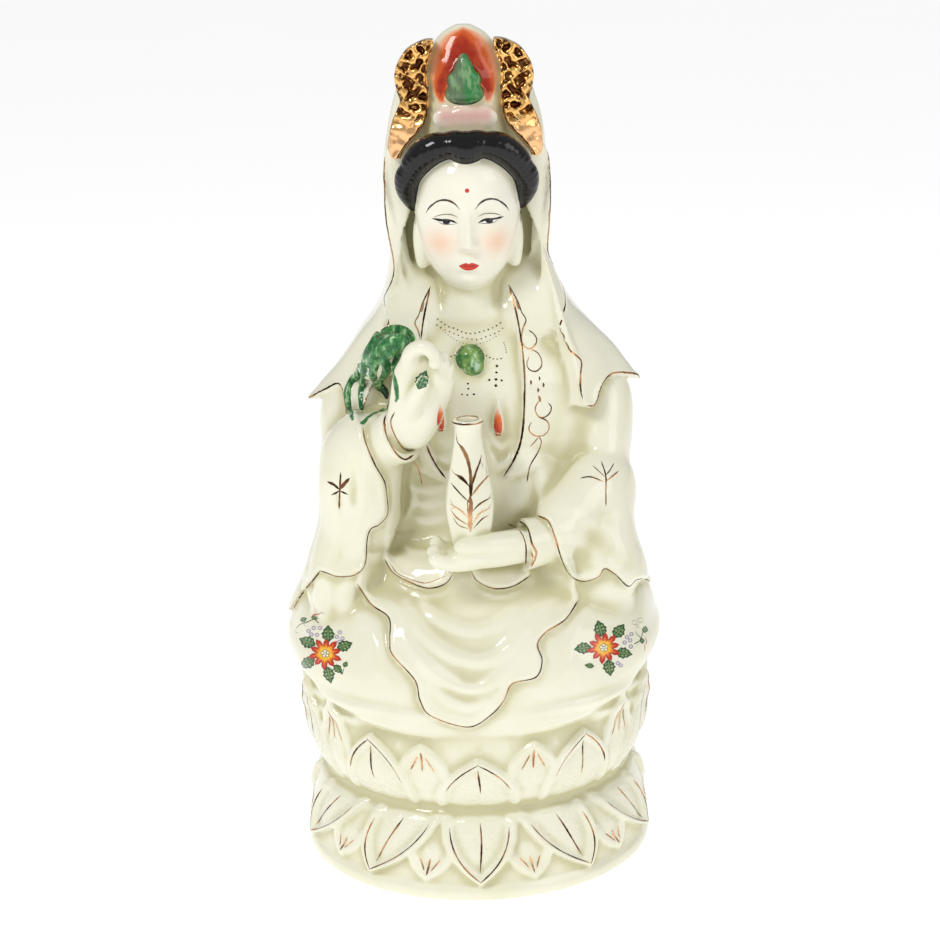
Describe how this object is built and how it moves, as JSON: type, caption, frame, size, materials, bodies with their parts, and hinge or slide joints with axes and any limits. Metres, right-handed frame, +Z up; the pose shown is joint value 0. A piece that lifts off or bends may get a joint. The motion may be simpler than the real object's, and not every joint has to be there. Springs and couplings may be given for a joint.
{
  "type": "guanyin figurine",
  "caption": "Seated Guanyin in ivory-glazed porcelain, holding a flask and a willow spray, on a double lotus seat, with gold-lined robes.",
  "frame": {"origin": "centre of the flat underside of the seat", "axes": "+Z up, and the figure faces -Y"},
  "size_m": [0.1846, 0.1797, 0.4055],
  "materials": {
    "glazed_porcelain": "ivory glaze, clear and glossy, with fired gold lines and enamels"
  },
  "bodies": {
    "root": {"guanyin_on_lotus_seat": "glazed_porcelain"}
  },
  "joints": []
}
